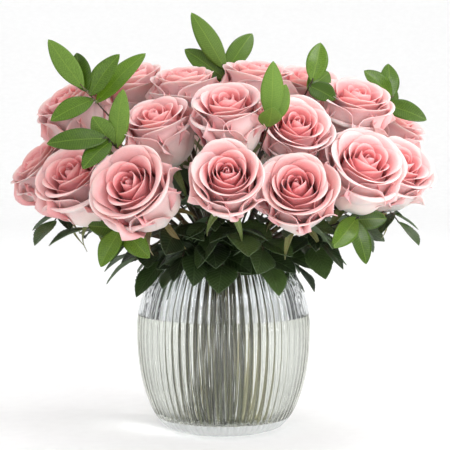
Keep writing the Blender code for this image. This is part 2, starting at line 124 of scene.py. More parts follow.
def smooth_line(points, count):
    """Points at even steps along a Catmull-Rom curve through the given points."""
    points = np.asarray(points, float)
    padded = np.vstack([2 * points[0] - points[1], points, 2 * points[-1] - points[-2]])
    places = []
    for before, start, end, after in zip(padded, padded[1:], padded[2:], padded[3:]):
        share = np.linspace(0, 1, CURVE_STEPS + 1)[:-1, None]
        places.append(0.5 * (2 * start + (end - before) * share
                             + (2 * before - 5 * start + 4 * end - after) * share ** 2
                             + (3 * start - before - 3 * end + after) * share ** 3))
    places = np.vstack(places + [points[-1:]])
    length = np.concatenate([[0], np.cumsum(np.linalg.norm(np.diff(places, axis=0), axis=1))])
    steps = np.linspace(0, length[-1], count)
    return np.stack([np.interp(steps, length, places[:, axis]) for axis in range(3)], axis=1)


def blades_of(points, links):
    """A stem's leaf blades, and the corners that no blade holds.

    A blade's tip has four links, which all lead back from it, through three rings of four corners. Each
    blade is its tip and, for each ring, the ring's centre and the way from there to its left side.
    """
    blades, held = [], set()
    for index, linked in enumerate(links):
        ways = points[linked] - points[index]
        ways /= np.linalg.norm(ways, axis=1)[:, None]
        if len(linked) != 4 or (ways @ unit(ways.mean(axis=0))).min() < TIP_SPREAD:
            continue
        rings, seen = [[index]], {index}
        for _ in range(3):
            fresh = sorted({other for corner in rings[-1] for other in links[corner]} - seen)
            seen.update(fresh)
            rings.append(fresh)
        if [len(ring) for ring in rings[1:]] != [4, 4, 4]:
            continue
        held |= seen
        stations = []
        for ring in rings[1:]:
            corners = points[ring]
            apart = np.linalg.norm(corners[:, None] - corners[None], axis=2)
            left, right = np.unravel_index(np.argmax(apart), apart.shape)
            stations.append((0.5 * (corners[left] + corners[right]), 0.5 * (corners[left] - corners[right])))
        blades.append((points[index], stations))
    rest = points[[index for index in range(len(points)) if index not in held]]
    return blades, rest


def level_rings(points):
    """The centres and the radius of the level rings of corners that a stem's solid is made of."""
    levels = levels_of(points)
    foot = points[levels[0]]
    radius = float(np.linalg.norm(foot - foot.mean(axis=0), axis=1).min())
    centres = []
    for level in levels:
        ring = points[level]
        across = float(np.ptp(ring, axis=0).max())
        if len(ring) >= 3 and STEM_ACROSS[0] * radius < across < STEM_ACROSS[1] * radius:
            centres.append(0.5 * (ring.min(axis=0) + ring.max(axis=0)))
    return np.array(centres), radius


def bloom_frame(node):
    """A bloom's hip point, the way that it faces and its diameter, from its solid."""
    points, _ = welded(node)
    centre = points.mean(axis=0)
    stem, _ = welded(node.replace("bloom", "stem"))
    nearest = stem[np.argmin(np.linalg.norm(stem - centre, axis=1))]
    # The middle of the ring of nine corners that sits on the hip, found from the five nearest to the stem
    base = points[np.argsort(np.linalg.norm(points - nearest, axis=1))[:5]]
    hip = points[np.argsort(np.linalg.norm(points - base.mean(axis=0), axis=1))[:9]].mean(axis=0)
    facing = unit(centre - hip)
    upward = unit(facing + LIFT * UP)
    settle = np.interp(hip[2], *SETTLE)
    hip, facing = centre + (hip - centre) @ facing * upward - settle * UP, upward
    along = (points - hip) @ facing
    aside = np.linalg.norm(points - hip - along[:, None] * facing, axis=1)
    return hip, facing, float(aside.max()) / BLOOM_HALF_WIDTH


def vase_profile():
    """The vase's outline as rows of radius, rib depth and height, and its cavity's with no ribs."""
    points, _ = welded("vase")
    reach = np.hypot(points[:, 0], points[:, 1])
    outside, cavity = [], []
    for level in levels_of(points):
        height, radii = float(points[level[0], 2]), reach[level]
        outer = radii[radii > radii.max() - WALL_STEP]
        inner = radii
        if len(outer) >= OUTSIDE_CORNERS:
            outside.append((float(outer.max()), float(np.ptp(outer)), height))
            inner = radii[radii <= radii.max() - WALL_STEP]
        if CAVITY_CORNERS[0] <= len(inner) <= CAVITY_CORNERS[1]:
            cavity.append((float(inner.mean()), 0.0, height))
    return np.array(outside), np.array(cavity)


# ---- Building meshes ----

def show(name, data):
    """A new object of the data, linked to the scene."""
    thing = bpy.data.objects.new(name, data)
    bpy.context.scene.collection.objects.link(thing)
    return thing


def piece(name, mesh, materials, slot, *nodes):
    """An object of the mesh that rides on the frame and stands for the nodes."""
    mesh.name = name
    for material in materials:
        mesh.materials.append(material)
    thing = show(name, mesh)
    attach(thing, "root")
    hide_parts(*nodes)
    return thing


class Shells:
    """Gathers closed thin sheets and tubes into one mesh, with named values at each corner."""

    def __init__(self, *names):
        self.names = names + ("back",)
        self.corners, self.faces, self.finishes, self.values, self.count = [], [], [], [], 0

    def gather(self, corners, faces, values, finish):
        """Takes in corners, faces, the values at the corners and the number of the faces' material."""
        self.corners.append(corners)
        self.faces += [[index + self.count for index in face] for face in faces]
        self.finishes += [finish] * len(faces)
        self.values.append(values)
        self.count += len(corners)

    def sheet(self, grid, thickness, values, finish=0):
        """A closed sheet of the thickness about a grid of points; back is 1 on the face under its normal."""
        rows, columns = grid.shape[:2]
        normal = np.cross(np.gradient(grid, axis=0), np.gradient(grid, axis=1))
        normal /= np.maximum(np.linalg.norm(normal, axis=2, keepdims=True), 1e-12)
        half = 0.5 * normal * np.broadcast_to(thickness, (rows, columns))[:, :, None]
        index = np.arange(rows * columns).reshape(rows, columns)
        under = index + rows * columns
        rim = np.concatenate([index[0, :-1], index[:-1, -1], index[-1, :0:-1], index[:0:-1, 0]])
        after = np.roll(rim, -1)
        faces = [np.stack([index[:-1, :-1], index[1:, :-1], index[1:, 1:], index[:-1, 1:]], axis=-1),
                 np.stack([under[:-1, :-1], under[:-1, 1:], under[1:, 1:], under[1:, :-1]], axis=-1),
                 np.stack([rim, after, after + rows * columns, rim + rows * columns], axis=-1)]
        faces = np.concatenate([part.reshape(-1, 4) for part in faces])
        shown = np.stack([np.broadcast_to(value, (rows, columns)).reshape(-1) for value in values], axis=1)
        back = np.repeat([0.0, 1.0], rows * columns)[:, None]
        corners = np.concatenate([(grid + half).reshape(-1, 3), (grid - half).reshape(-1, 3)])
        self.gather(corners, faces.tolist(), np.hstack([np.vstack([shown, shown]), back]), finish)

    def tube(self, line, radii, sides, values, finish=0):
        """A round tube along the line with closed ends; its first value runs from 0 to 1 along it."""
        ways = np.gradient(line, axis=0)
        ways /= np.linalg.norm(ways, axis=1, keepdims=True)
        aside = np.cross(ways[0], UP if abs(ways[0][2]) < 0.9 else (1.0, 0.0, 0.0))
        turns = FULL_TURN * np.arange(sides)[:, None] / sides
        rings = []
        for point, way, radius in zip(line, ways, radii):
            aside = unit(aside - way * (aside @ way))
            rings.append(point + radius * (np.cos(turns) * aside + np.sin(turns) * np.cross(way, aside)))
        index = np.arange(len(rings) * sides).reshape(-1, sides)
        after = np.roll(index, -1, axis=1)
        faces = np.stack([index[:-1], after[:-1], after[1:], index[1:]], axis=-1).reshape(-1, 4).tolist()
        faces += [[index.size, *pair] for pair in zip(after[0], index[0])]
        faces += [[index.size + 1, *pair] for pair in zip(index[-1], after[-1])]
        along = np.concatenate([np.repeat(np.linspace(0, 1, len(rings)), sides), [0, 1]])
        rest = [np.full(len(along), value) for value in values]
        corners = np.concatenate([np.concatenate(rings), line[:1], line[-1:]])
        self.gather(corners, faces, np.stack([along, *rest, np.zeros(len(along))], axis=1), finish)

    def build(self, name, materials, slot, *nodes):
        """The mesh as one piece, in place of the nodes that it stands for."""
        mesh = bpy.data.meshes.new(name)
        mesh.from_pydata(np.concatenate(self.corners).tolist(), [], self.faces)
        mesh.polygons.foreach_set("material_index", self.finishes)
        values = np.concatenate(self.values)
        for column, label in enumerate(self.names):
            layer = mesh.attributes.new(label, "FLOAT", "POINT")
            layer.data.foreach_set("value", np.ascontiguousarray(values[:, column], dtype=np.float32))
        mesh.shade_smooth()
        return piece(name, mesh, materials, slot, *nodes)


def turned(name, rows, columns, ribs=0):
    """A closed mesh turned about the z axis from rows of height, radius and rib depth, ribbed all round."""
    turn = FULL_TURN * np.arange(columns) / columns
    hollow = 1 - np.abs(np.cos(0.5 * ribs * turn))
    radius = rows[:, 1, None] - rows[:, 2, None] * hollow
    heights = np.broadcast_to(rows[:, 0, None], radius.shape)
    corners = np.stack([radius * np.cos(turn), radius * np.sin(turn), heights], axis=2).reshape(-1, 3)
    index = np.arange(len(corners)).reshape(-1, columns)
    after = np.roll(index, -1, axis=1)
    faces = np.stack([index[:-1], after[:-1], after[1:], index[1:]], axis=-1).reshape(-1, 4).tolist()
    ends = len(corners), len(corners) + 1
    faces += [[ends[0], second, first] for first, second in zip(index[0], after[0])]
    faces += [[ends[1], first, second] for first, second in zip(index[-1], after[-1])]
    middle = [[0, 0, rows[0, 0]], [0, 0, rows[-1, 0]]]
    mesh = bpy.data.meshes.new(name)
    mesh.from_pydata(np.vstack([corners, middle]).tolist(), [], faces)
    mesh.shade_smooth()
    return mesh


# ---- Materials ----

def shade(code):
    """The linear colour of an sRGB hex code."""
    parts = [int(code[start:start + 2], 16) / 255 for start in (1, 3, 5)]
    linear = [part / 12.92 if part <= 0.04045 else ((part + 0.055) / 1.055) ** 2.4 for part in parts]
    return *linear, 1.0


def new_material(name):
    """A node material with nothing in it yet."""
    made = bpy.data.materials.new(name)
    made.use_nodes = True
    made.node_tree.nodes.clear()
    return made


def add(material, kind, settings=(), inputs=(), output=0):
    """Adds a node with its settings and its inputs, values or links, and gives one of its outputs."""
    made = material.node_tree.nodes.new(kind)
    for name, value in dict(settings).items():
        if name == "stops":
            stops = made.color_ramp.elements
            while len(stops) < len(value):
                stops.new(1.0)
            for stop, (position, colour) in zip(stops, value):
                stop.position = position
                stop.color = shade(colour) if isinstance(colour, str) else colour
        else:
            setattr(made, name, value)
    for name, value in dict(inputs).items():
        if isinstance(value, bpy.types.NodeSocket):
            material.node_tree.links.new(value, made.inputs[name])
        else:
            made.inputs[name].default_value = value
    return made.outputs[output] if made.outputs else None


ATTRIBUTE, MATH, RAMP, MIX = "ShaderNodeAttribute", "ShaderNodeMath", "ShaderNodeValToRGB", "ShaderNodeMix"
NOISE, BUMP, RANGE = "ShaderNodeTexNoise", "ShaderNodeBump", "ShaderNodeMapRange"
SHADER, END = "ShaderNodeBsdfPrincipled", "ShaderNodeOutputMaterial"
PLACE, HUE = "ShaderNodeTexCoord", "ShaderNodeHueSaturation"


def petal_material(look):
    """Rose petal, fresh and matt: a velvety skin over tissue that light soaks into."""
    made = new_material("rose_petal_tissue")
    along, layer, back, off, tone = (add(made, ATTRIBUTE, {"attribute_name": name}, (), "Fac")
                                     for name in ("along", "layer", "back", "off", "tone"))
    # The face is deep pink in the heart of the petal, at its foot, partly its own colour and partly painted
    # shade in the crevice there, and pales towards a thin light lip
    # The thin light lip is partly the petal's own paler edge and partly a painted highlight where the rim
    # catches light
    stops = (0.0, look.heart), (0.40, "#DE7280"), (0.68, look.face), (0.95, "#F7BDBE"), (1.0, look.lip)
    face = add(made, RAMP, {"stops": stops}, {0: along})
    # The back is greenish cream at the foot, and flushes pink towards the lip
    stops = (0.0, "#DFE5BE"), (0.22, "#F4E7DD"), (0.52, look.back), (0.86, "#F4B0B5"), (1.0, look.lip)
    # The back ends in the same light lip, partly a painted highlight
    rear = add(made, RAMP, {"stops": stops}, {0: along})
    colour = add(made, MIX, {"data_type": "RGBA"}, {0: back, 6: face, 7: rear}, 2)
    # The heart's petals are the most coloured, partly their own deeper colour and partly painted shade deep
    # in the cup; the guard petals the most faded
    stops = (0.0, "#EE8C9A"), (0.30, "#F8B4B8"), (0.62, "#FFEAE8"), (1.0, "#FFFFFF")
    layer_colour_and_painted_shade = add(made, RAMP, {"stops": stops}, {0: layer})
    colour = add(made, MIX, {"data_type": "RGBA", "blend_type": "MULTIPLY"}, {0: 0.75, 6: colour, 7: layer_colour_and_painted_shade}, 2)
    pale = add(made, RAMP, {"stops": ((0.60, (0, 0, 0, 1)), (1.0, (0.42, 0.42, 0.42, 1)))}, {0: layer})
    colour = add(made, MIX, {"data_type": "RGBA"}, {0: pale, 6: colour, 7: shade("#F6E4DE")}, 2)
    # Clouding 12 mm across, and each petal a little lighter or darker than its neighbours; the tone also
    # carries painted light, which makes blooms further right lighter
    cloud = add(made, NOISE, {}, {"Scale": 80.0, "Detail": 2.0})
    lightness_and_painted_light = add(made, MATH, {"operation": "MULTIPLY_ADD"}, {0: cloud, 1: 0.16, 2: 0.92})
    lightness_and_painted_light = add(made, MATH, {"operation": "MULTIPLY_ADD"}, {0: tone, 1: 0.11, 2: lightness_and_painted_light})
    # Saturation falls a little with the tone, so the painted light also leaves blooms further right less
    # saturated
    fresh = add(made, MATH, {"operation": "MULTIPLY_ADD"}, {0: tone, 1: -0.03, 2: 0.95})
    colour = add(made, HUE, {}, {"Value": lightness_and_painted_light, "Saturation": fresh, "Color": colour})
    # Fine veins 1.3 mm apart that fan out from the foot
    wobble = add(made, NOISE, {}, {"Scale": 220.0, "Detail": 1.0})
    line = add(made, MATH, {"operation": "MULTIPLY_ADD"}, {0: wobble, 1: 1.6, 2: off})
    vein = add(made, MATH, {"operation": "PINGPONG"}, {0: line, 1: 0.65})
    relief = add(made, BUMP, {}, {"Strength": 0.22, "Distance": 0.12 * MM, "Height": vein})
    skin = add(made, SHADER, {"subsurface_method": "RANDOM_WALK"}, {
        "Base Color": colour, "Roughness": 0.58, "Specular IOR Level": 0.32, "Normal": relief,
        "Subsurface Weight": 0.35, "Subsurface Radius": (1.0, 0.36, 0.30), "Subsurface Scale": 2.2 * MM,
        "Sheen Weight": 0.18, "Sheen Roughness": 0.45})
    add(made, END, {}, {"Surface": skin})
    return made


def stem_material(look):
    """Rose stem, living bark: waxy green with a red flush towards the light."""
    made = new_material("rose_stem_bark")
    along, tone = (add(made, ATTRIBUTE, {"attribute_name": name}, (), "Fac")
                   for name in ("along", "tone"))
    # Streaks 2 mm wide along the stem, and pores 0.6 mm across
    place = add(made, PLACE, {}, (), "Object")
    stretched = add(made, "ShaderNodeMapping", {}, {"Vector": place, "Scale": (1.0, 1.0, 0.12)})
    streak = add(made, NOISE, {}, {"Vector": stretched, "Scale": 500.0, "Detail": 2.0})
    flush = add(made, MATH, {"operation": "MULTIPLY_ADD"}, {0: along, 1: 0.45, 2: streak})
    stops = (0.30, look.stem), (0.60, "#5C6238"), (0.85, "#57482C"), (1.0, look.flush)
    colour = add(made, RAMP, {"stops": stops}, {0: flush})
    # Under the neck of the vase the stems are painted paler towards straw, more on some than others, some
    # staying deep green: partly their own colour in the water, partly painted light for the light that comes
    # in through the glass
    straw = add(made, RANGE, {}, {0: tone, 1: 0.2, 2: 1.0, 3: 0.0, 4: 0.75})
    below = add(made, RANGE, {}, {0: along, 1: 0.45, 2: 0.65, 3: 1.0, 4: 0.0})
    straw = add(made, MATH, {"operation": "MULTIPLY"}, {0: straw, 1: below})
    colour = add(made, MIX, {"data_type": "RGBA"}, {0: straw, 6: colour, 7: shade("#A8A27C")}, 2)
    value = add(made, MATH, {"operation": "MULTIPLY_ADD"}, {0: tone, 1: 0.45, 2: 0.50})
    colour = add(made, HUE, {}, {"Value": value, "Color": colour})
    pores = add(made, NOISE, {}, {"Vector": place, "Scale": 1600.0, "Detail": 1.0})
    relief = add(made, BUMP, {}, {"Strength": 0.3, "Distance": 0.2 * MM, "Height": pores})
    skin = add(made, SHADER, {}, {"Base Color": colour, "Roughness": 0.42, "Normal": relief,
                                  "Subsurface Weight": 0.05, "Subsurface Scale": 1.0 * MM})
    add(made, END, {}, {"Surface": skin})
    return made


def leaf_material(name, upper, under, vein_colour, spacing, lean, shine, relief_depth):
    """Leaf, waxy: a darker upper face, a dull pale underside, and veins that stand in both.

    Upper and under are the faces' colours from dark to light, spacing is the side veins' in millimetres,
    lean is how far they run on for each millimetre out, and shine is the upper face's roughness.
    """
    made = new_material(name)
    along, off, edge, tone, back, run = (add(made, ATTRIBUTE, {"attribute_name": label}, (), "Fac")
                                         for label in ("along", "off", "edge", "tone", "back", "run"))
    # The midrib, and side veins at their real spacing that lean towards the tip
    far = add(made, MATH, {"operation": "ABSOLUTE"}, {0: off})
    wobble = add(made, NOISE, {}, {"Scale": 260.0, "Detail": 1.0})
    path = add(made, MATH, {"operation": "MULTIPLY_ADD"}, {0: far, 1: -lean, 2: run})
    path = add(made, MATH, {"operation": "MULTIPLY_ADD"}, {0: wobble, 1: 0.5 * spacing, 2: path})
    beside = add(made, MATH, {"operation": "PINGPONG"}, {0: path, 1: 0.5 * spacing})
    side_vein = add(made, RANGE, {}, {0: beside, 1: 0.0, 2: 0.16 * spacing, 3: 1.0, 4: 0.0})
    midrib = add(made, RANGE, {}, {0: far, 1: 0.15, 2: 0.55, 3: 1.6, 4: 0.0})
    vein = add(made, MATH, {"operation": "MAXIMUM"}, {0: side_vein, 1: midrib})
    # Mottling 5 mm across over the blade's own green
    cloud = add(made, NOISE, {}, {"Scale": 200.0, "Detail": 3.0})
    mottle = add(made, MATH, {"operation": "MULTIPLY_ADD"}, {0: tone, 1: 0.25, 2: cloud})
    top = add(made, RAMP, {"stops": ((0.20, upper[0]), (0.52, upper[1]), (0.85, upper[2]))}, {0: mottle})
    bottom = add(made, RAMP, {"stops": ((0.25, under[0]), (0.75, under[1]))}, {0: mottle})
    colour = add(made, MIX, {"data_type": "RGBA"}, {0: back, 6: top, 7: bottom}, 2)
    shown = add(made, MATH, {"operation": "MULTIPLY"}, {0: vein, 1: 0.22})
    colour = add(made, MIX, {"data_type": "RGBA"}, {0: shown, 6: colour, 7: shade(vein_colour)}, 2)
    # The margin and the tip dry out first
    dry = add(made, MATH, {"operation": "MULTIPLY"}, {0: edge, 1: along})
    dry = add(made, RAMP, {"stops": ((0.72, (0, 0, 0, 1)), (1.0, (0.5, 0.5, 0.5, 1)))}, {0: dry})
    colour = add(made, MIX, {"data_type": "RGBA"}, {0: dry, 6: colour, 7: shade(under[1])}, 2)
    rough = add(made, MATH, {"operation": "MULTIPLY_ADD"}, {0: back, 1: 0.26, 2: shine})
    rough = add(made, MATH, {"operation": "MULTIPLY_ADD"}, {0: cloud, 1: 0.12, 2: rough})
    relief = add(made, BUMP, {"invert": True}, {"Strength": 0.6, "Distance": relief_depth, "Height": vein})
    skin = add(made, SHADER, {}, {"Base Color": colour, "Roughness": rough, "Specular IOR Level": 0.32,
                                  "Normal": relief, "Subsurface Weight": 0.08,
                                  "Subsurface Radius": (0.5, 1.0, 0.2), "Subsurface Scale": 0.8 * MM})
    add(made, END, {}, {"Surface": skin})
    return made


def glass_material(name, look, clearness):
    """Soda-lime glass, pressed in a ribbed mould: clear, or ground to a pale frost at less clearness."""
    made = new_material(name)
    place = add(made, PLACE, {}, (), "Object")
    # Waves 30 mm across and 0.03 mm deep, and a grain 3 mm across where the heel met the mould's floor
    height = add(made, "ShaderNodeSeparateXYZ", {}, {0: place}, "Z")
    heel = add(made, RANGE, {}, {0: height, 1: HEEL_HEIGHT + 3 * MM, 2: HEEL_HEIGHT - 3 * MM, 3: 0.0, 4: 1.0})
    wave = add(made, NOISE, {}, {"Vector": place, "Scale": 33.0, "Detail": 0.0})
    grain = add(made, NOISE, {}, {"Vector": place, "Scale": 330.0, "Detail": 2.0})
    uneven = add(made, MATH, {"operation": "MULTIPLY"}, {0: grain, 1: heel})
    uneven = add(made, MATH, {"operation": "MULTIPLY_ADD"}, {0: uneven, 1: 12.0, 2: wave})
    relief = add(made, BUMP, {}, {"Strength": 0.5, "Distance": 0.03 * MM, "Height": uneven})
    # The wall is wiped clean, with the faintest bloom left on it, and the heel is rough
    smear = add(made, NOISE, {}, {"Vector": place, "Scale": 90.0, "Detail": 4.0})
    clean = add(made, RANGE, {}, {0: smear, 1: 0.40, 2: 0.75, 3: 0.0, 4: 0.03})
    rough = add(made, MATH, {"operation": "MULTIPLY_ADD"}, {0: heel, 1: 0.20, 2: clean})
    skin = add(made, SHADER, {}, {"Base Color": look.glass, "Roughness": rough, "IOR": 1.51,
                                  "Transmission Weight": clearness, "Normal": relief})
    add(made, END, {}, {"Surface": skin})
    return made


def water_material(look):
    """Vase water, a few days old: clear, with the faint straw tint that stems give it."""
    made = new_material("vase_water")
    place = add(made, PLACE, {}, (), "Object")
    # Ripples 18 mm across where the stems draw the surface up
    ripple = add(made, NOISE, {}, {"Vector": place, "Scale": 55.0, "Detail": 1.0})
    relief = add(made, BUMP, {}, {"Strength": 0.35, "Distance": 0.1 * MM, "Height": ripple})
    skin = add(made, SHADER, {}, {"Base Color": look.water, "Roughness": 0.0, "IOR": 1.333,
                                  "Transmission Weight": 1.0, "Normal": relief})
    add(made, END, {}, {"Surface": skin})
    return made


# ---- Petals, sepals and leaves ----

def smooth_step(share):
    """Rises from 0 to 1 without a corner."""
    share = np.clip(share, 0, 1)
    return share * share * (3 - 2 * share)


# A petal's layer is 0 at its bloom's heart and 1 outside. Each table gives layers and the values there.
# How blunt the lip is: the power of its fall towards the sides
LIP_POWER = ((0.2, 0.5), (2.8, 1.9))
# The way that the petal runs, in degrees out from the axis, at each of these shares from foot to lip
RUN_SHARES = (0, 0.2, 0.45, 0.74)
RUN_LAYERS = (0, 0.3, 0.6, 0.9, 1)
RUN_DEGREES = ((10, 40, 62, 80, 84), (8, 22, 36, 54, 62), (0, 0, 4, 10, 24), (-10, -6, -4, -2, 30))
# How far the lip turns back, in degrees, and the share at which it starts to
CURL = ((0, 0.25, 0.45, 0.65, 0.85, 1), (-14, 6, 34, 62, 88, 96))
CURL_START = ((0, 0.4, 1), (0.84, 0.80, 0.74))
# The lip's height and the height of its waves, in bloom diameters
LIP_HEIGHT = ((0, 0.25, 0.5, 0.75, 0.9, 1), (0.93, 0.985, 0.975, 0.93, 0.88, 0.66))
WAVE = ((0, 0.5, 1), (0.001, 0.006, 0.014))
# How far one side of the petal runs outside its neighbour, and the other inside, as a share of the radius
OVERLAP = ((0, 0.25, 0.5, 1), (0.34, 0.12, 0.09, 0.06))
# The petal's half width, in degrees round the axis, and the part of it that each share from foot to lip has
HALF_WIDTH = ((0, 0.15, 0.35, 0.6, 1), (175, 130, 100, 86, 78))
WIDTH_ALONG = ((0, 0.2, 0.45, 0.65, 1), (0.34, 0.68, 0.94, 1.0, 0.92))
# Where the margins leave the cup, as a share of the half width, and how far they roll outwards, in degrees
FOLD = ((0, 0.3, 0.6, 0.9, 1), (0.98, 0.82, 0.66, 0.62, 0.74))
ROLL = ((0, 0.3, 0.6, 0.9, 1), (5, 45, 110, 150, 90))
# The radius that petals keep within, in bloom diameters, the share of it past which they are eased, and
# how much of what lies past that stays
PETAL_REACH = 0.475
EASE_FROM, EASE = 0.86, 0.45
# The foot's radius and, at the petal's belly, the least radius, the growth and its power by layer, all in
# bloom diameters; the belly is found in the lower part of the petal
FOOT_RADIUS = 0.02
BELLY, BELLY_GROWTH, BELLY_POWER = 0.030, 0.36, 0.80
BELLY_PART = 0.75
PETAL_HEIGHT = 0.87
# How much lower the petal ends at its sides, and how much sooner its lip turns there
SIDE_FALL = 0.26
SIDE_CURL = 0.12
# The least fold of a margin, in radians, and the shares between which waves and folds begin
LEAST_FOLD = 0.02
WAVE_FROM, WAVE_OVER = 0.45, 0.4
FOLD_FROM, FOLD_OVER = 0.46, 0.36
# Rows and columns of a petal's points: up to this layer the heart's petals have fewer
HEART_LAYER = 0.3
HEART_POINTS, PETAL_POINTS = (13, 15), (19, 17)
# Blooms differ in tone by chance; further right they are painted paler, painted light for the key light
# there; petals differ by chance
BLOOM_TONE, PAINTED_LIGHT_SLOPE, PETAL_TONE = 0.6, 7.0, 0.4


def petal_run(size, layer, openness, share, side, dice):
    """How far out from its bloom's axis and how far up each point of a petal lies."""
    run = [np.interp(layer, RUN_LAYERS, degrees) for degrees in RUN_DEGREES]
    run[2] += dice.uniform(-4, 4) * layer
    run[3] += (dice.uniform(-6, 8) + 14 * (openness - 1)) * layer
    curl = np.interp(layer, *CURL) * openness
    curl *= 1 + dice.uniform(-0.2, 0.2)
    start = np.interp(layer, *CURL_START) - SIDE_CURL * side ** 2
    angle = np.radians(np.interp(share, RUN_SHARES, run)
                       + curl * ((share - start) / (1 - start)).clip(0) ** 1.4)
    step = np.diff(share, axis=0, prepend=0)
    out, up = np.cumsum(step * np.sin(angle), axis=0), np.cumsum(step * np.cos(angle), axis=0)
    middle = side.size // 2
    body = np.linspace(0, 1, len(share)) < BELLY_PART
    inset = FOOT_RADIUS * size
    belly = size * (BELLY + BELLY_GROWTH * layer ** BELLY_POWER) * (0.93 + 0.07 * openness)
    out *= (belly - inset) / max(out[body, middle].max(), 0.05)
    up *= PETAL_HEIGHT * size * np.interp(layer, *LIP_HEIGHT) / up[:, middle].max()
    return inset + out, up


def petal_grid(size, layer, openness, rows, columns, dice):
    """A petal about its bloom's axis, with each point's share of the way to the lip and place across."""
    side = np.linspace(-1, 1, columns)[None, :]
    fall = SIDE_FALL * np.abs(side) ** np.interp(layer, *LIP_POWER)
    share = np.linspace(0, 1, rows)[:, None] * (1 - fall)
    radius, up = petal_run(size, layer, openness, share, side, dice)
    radius = radius * (1 + np.interp(layer, *OVERLAP) * side)
    wave = size * np.interp(layer, *WAVE) * np.sin(
        3.0 * side * dice.uniform(0.8, 1.3) + dice.uniform(*ANY_TURN))
    wave = wave * smooth_step((share - WAVE_FROM) / WAVE_OVER)
    most = EASE_FROM * (PETAL_REACH * size)
    radius = np.where(radius > most, most + (radius - most) * EASE, radius) + wave
    half_width = np.radians(np.interp(layer, *HALF_WIDTH) * dice.uniform(0.92, 1.1))
    spread = half_width * np.interp(share, *WIDTH_ALONG)
    fold = np.interp(layer, *FOLD)
    rolled = ((np.abs(side) - fold) / (1 - fold)).clip(0)
    bend = np.radians(np.interp(layer, *ROLL) * openness * dice.uniform(0.7, 1.15))
    bend = np.maximum(bend * smooth_step((share - FOLD_FROM) / FOLD_OVER), LEAST_FOLD)
    reach = (1 - fold) * radius * spread
    past = reach * np.sin(bend * rolled) / bend * np.sign(side)
    clear = reach * (1 - np.cos(bend * rolled)) / bend
    turn = spread * np.clip(side, -fold, fold)
    grid = np.stack([(radius + clear) * np.cos(turn) - past * np.sin(turn),
                     (radius + clear) * np.sin(turn) + past * np.cos(turn),
                     up + 0.5 * wave - 0.3 * clear], axis=2)
    off = side * 0.5 * size * np.interp(layer, (0, 1), (0.35, 0.95)) * np.ones_like(share)
    return grid, share, off


def grow_bloom(node, look, material, dice):
    """A rose's petals, turned by the golden angle from the heart outwards, on one bloom's place."""
    hip, facing, size = bloom_frame(node)
    turn = np.array(Vector(facing).to_track_quat("Z", "Y").to_matrix())
    openness = dice.uniform(0.80, 1.10)
    shells = Shells("along", "layer", "off", "tone")
    # A tone by chance, plus painted light: blooms further right are painted paler and less saturated, for the
    # key light on the right
    bloom_tone_and_painted_light = BLOOM_TONE * dice.uniform(-1, 1) + PAINTED_LIGHT_SLOPE * hip[0]
    first_turn = dice.uniform(0, FULL_TURN)
    for number in range(look.petals):
        layer = number / (look.petals - 1)
        rows, columns = PETAL_POINTS if layer > HEART_LAYER else HEART_POINTS
        grid, share, off = petal_grid(size, layer, openness, rows, columns, dice)
        spin = first_turn + GOLDEN_ANGLE * number + dice.uniform(-0.12, 0.12)
        tilt = dice.uniform(-1, 1) * np.radians(2.5) * layer
        cos, sin = np.cos(spin), np.sin(spin)
        grid[:, :, 0] += grid[:, :, 2] * tilt
        grid = grid @ np.array(((cos, sin, 0), (-sin, cos, 0), (0, 0, 1)))
        grid = hip + grid @ turn.T
        thickness = look.petal_thickness * np.interp(share, (0, 0.6, 1), (1.5, 1.0, 0.6))
        tone = bloom_tone_and_painted_light + PETAL_TONE * dice.uniform(-1, 1)
        shells.sheet(grid, thickness, (share, layer, off / MM, tone))
    return shells.build(node.replace("bloom", "petals"), [material], "rose_petals", node)


# ---- Stems, sepals and leaves ----

# A rose's stem near its hip: how far under the hip's end, and the radius there, in millimetres
HIP_OUTLINE = ((0, 3, 7, 13), (4.6, 5.0, 4.3, 2.1))
HIP_LENGTH = 9 * MM
# From this far under the hip's end the stem is bare, and a little thinner than the frame's five-sided one
BARE_FROM = 40 * MM
BARE_SHARE = 0.84
STEM_STEPS = 60
# A sepal's half width at its widest, and its outline as shares of its length and of that width
SEPAL_HALF_WIDTH = 4.2 * MM
SEPAL_THICKNESS = 0.5 * MM
SEPAL_OUTLINE = ((0, 0.15, 0.4, 0.75, 1), (0.75, 1.0, 0.72, 0.28, 0.05))
SEPAL_STEPS = 15
# A rose leaflet's saw teeth on each side, its steps, and the longest stalk between two leaflets of a pair
TEETH = 14
LEAFLET_STEPS = 43
PAIR_APART = 9 * MM
# A compound leaf: its stalk's share of its length, and each leaflet's place on the stalk's 14 points, its
# turn off the stalk's way and its length as a share of the leaf's
STALK_SHARE = 0.62
STALK_STEPS = 14
LEAFLETS = ((13, 0.0, 0.60), (9, 1.0, 0.50), (9, -1.0, 0.50), (5, 1.05, 0.36), (5, -1.05, 0.36))
LEAFLET_HALF_WIDTH = 0.29
# Heights between which the inner leaves leave their stems, and their lengths in millimetres
INNER_LEAF_HEIGHTS = (0.170, 0.225)
INNER_LEAF_LENGTHS = (42, 58)
# On a frame blade, from root to tip: the shares of the way at its rings, and how far the root lies under
# the first ring, in steps between rings
RING_SHARES = (0.22, 0.5, 0.78)
ROOT_STEP = 0.78
# How much the sides of a blade lift, in its half width, for a rose leaflet, a sepal and a sprig's leaf
LEAFLET_BOW, SEPAL_BOW, SPRIG_BOW = 0.20, 0.3, 0.16
# How fast the sides lift, and the height and the count of the waves along a blade
BOW_POWER = 1.4
BLADE_WAVE, BLADE_WAVES = 0.05, 7
BLADE_COLUMNS = 9
SPRIG_STEPS = 60
SPRIG_LEAF_STEPS = 25
# A sprig leaf's half width, as a share of the frame's, which is straight-sided
SPRIG_LEAF_SHARE = 1.12


